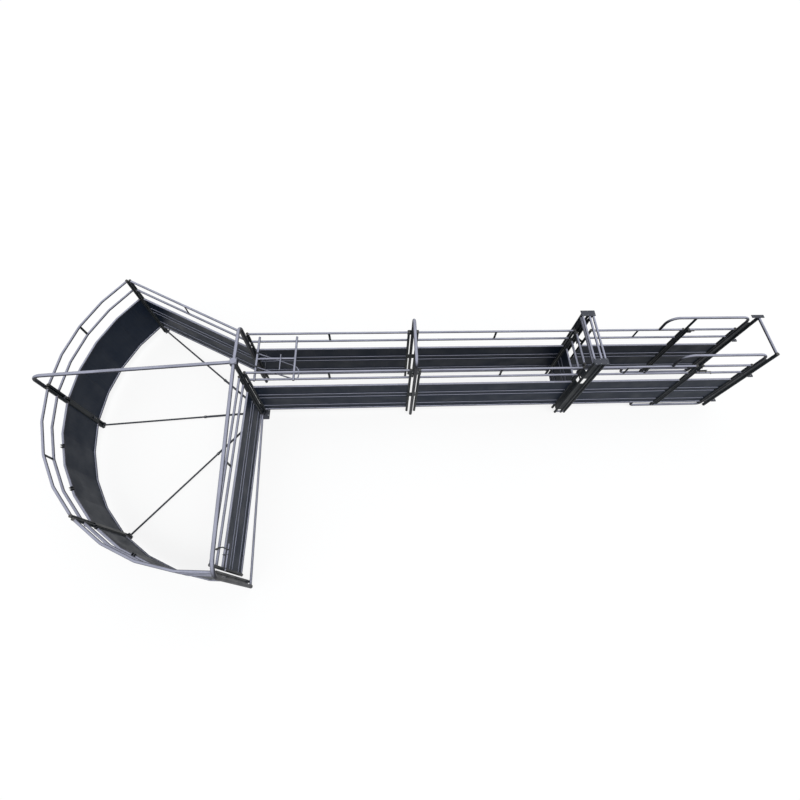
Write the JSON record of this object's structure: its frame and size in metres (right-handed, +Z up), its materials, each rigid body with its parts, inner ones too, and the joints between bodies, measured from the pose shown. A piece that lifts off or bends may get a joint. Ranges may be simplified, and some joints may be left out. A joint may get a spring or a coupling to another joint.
{
  "type": "livestock sweep tub with working alley",
  "caption": "Livestock sweep tub: half-round sheeted tub with overhead bows and a swinging sweep gate, leading into a straight sheeted alley with backstop, stop gate and side gates.",
  "frame": {"origin": "centre of the pivot post's foot, on the ground", "axes": "+X along the alley away from the tub, +Y across it to the far panels, +Z up"},
  "size_m": [12.7881, 5.3265, 2.292],
  "materials": {
    "tube_paint": "satin",
    "sheet_paint": "satin",
    "hardware_paint": "satin"
  },
  "bodies": {
    "structure": {"pivot_base": "hardware_paint", "pivot_post": "hardware_paint", "pivot_head": "hardware_paint", "rim_overhead_bow": "tube_paint", "entry_overhead_bow": "tube_paint", "alley_entrance_bow": "tube_paint", "rim_panel_1_frame": "tube_paint", "rim_panel_1_sheet": "sheet_paint", "rim_panel_2_frame": "tube_paint", "rim_panel_2_sheet": "sheet_paint", "rim_panel_3_frame": "tube_paint", "rim_panel_3_sheet": "sheet_paint", "lead_panel_frame": "tube_paint", "lead_panel_sheet": "sheet_paint", "panel_joint_lugs": "hardware_paint", "drop_pins": "hardware_paint", "tub_links": "hardware_paint", "floor_brace_1": "tube_paint", "floor_brace_2": "tube_paint", "floor_brace_3": "tube_paint", "entry_threshold": "tube_paint", "latch_catches": "hardware_paint", "near_panel_1_frame": "tube_paint", "near_panel_1_sheet": "sheet_paint", "near_panel_2_frame": "tube_paint", "near_panel_2_sheet": "sheet_paint", "near_panel_3_frame": "tube_paint", "near_panel_3_sheet": "sheet_paint", "far_panel_1_frame": "tube_paint", "far_panel_1_sheet": "sheet_paint", "far_panel_2_frame": "tube_paint", "far_panel_2_sheet": "sheet_paint", "far_panel_3_frame": "tube_paint", "far_panel_3_sheet": "sheet_paint", "mid_bow": "tube_paint", "alley_links": "hardware_paint", "backstop_bars": "tube_paint", "backstop_cradle": "hardware_paint", "stop_portal": "tube_paint", "portal_plates": "hardware_paint", "near_side_frame": "tube_paint", "far_side_frame": "tube_paint", "gate_keepers": "hardware_paint", "end_frame": "tube_paint", "end_spacers": "hardware_paint", "chute_lugs": "hardware_paint"},
    "sweep_gate": {"sweep_gate_frame": "tube_paint", "sweep_gate_sheet": "sheet_paint", "sweep_gate_collars": "hardware_paint"},
    "sweep_bolt": {"sweep_latch_bolt": "hardware_paint"},
    "stop_gate": {"stop_gate_frame": "tube_paint", "stop_gate_sheet": "sheet_paint"},
    "stop_bolt": {"stop_gate_bolt": "hardware_paint"},
    "near_gate": {"near_side_gate_frame": "tube_paint", "near_side_gate_sheet": "sheet_paint"},
    "near_bolt": {"near_gate_bolt": "hardware_paint"},
    "far_gate": {"far_side_gate_frame": "tube_paint", "far_side_gate_sheet": "sheet_paint"},
    "far_bolt": {"far_gate_bolt": "hardware_paint"},
    "flap": {"backstop_flap": "tube_paint"}
  },
  "joints": [
    {"name": "sweep_gate_swing", "type": "hinge", "parent": "structure", "child": "sweep_gate", "pos_m": [0, 0, 0.27], "axis": [0, 0, 1], "range_deg": [-126, 48]},
    {"name": "sweep_latch_slide", "type": "slide", "parent": "sweep_gate", "child": "sweep_bolt", "axis": [0, -1, 0], "range_m": [0, 0.05]},
    {"name": "stop_gate_swing", "type": "hinge", "parent": "structure", "child": "stop_gate", "pos_m": [6.13, 0.075, 0.11], "axis": [0, 0, 1], "range_deg": [-88, 0]},
    {"name": "stop_bolt_slide", "type": "slide", "parent": "stop_gate", "child": "stop_bolt", "axis": [0, 1, 0], "range_m": [0, 0.045]},
    {"name": "near_gate_swing", "type": "hinge", "parent": "structure", "child": "near_gate", "pos_m": [9.255, 0, 0.16], "axis": [0, 0, 1], "range_deg": [0, 100]},
    {"name": "near_bolt_slide", "type": "slide", "parent": "near_gate", "child": "near_bolt", "axis": [-1, 0, 0], "range_m": [0, 0.045]},
    {"name": "far_gate_swing", "type": "hinge", "parent": "structure", "child": "far_gate", "pos_m": [9.255, 0.79, 0.16], "axis": [0, 0, 1], "range_deg": [-100, 0]},
    {"name": "far_bolt_slide", "type": "slide", "parent": "far_gate", "child": "far_bolt", "axis": [-1, 0, 0], "range_m": [0, 0.045]},
    {"name": "backstop_lift", "type": "hinge", "parent": "structure", "child": "flap", "pos_m": [0.19, 0.37, 1.6026], "axis": [0, -1, 0], "range_deg": [0, 30]}
  ]
}
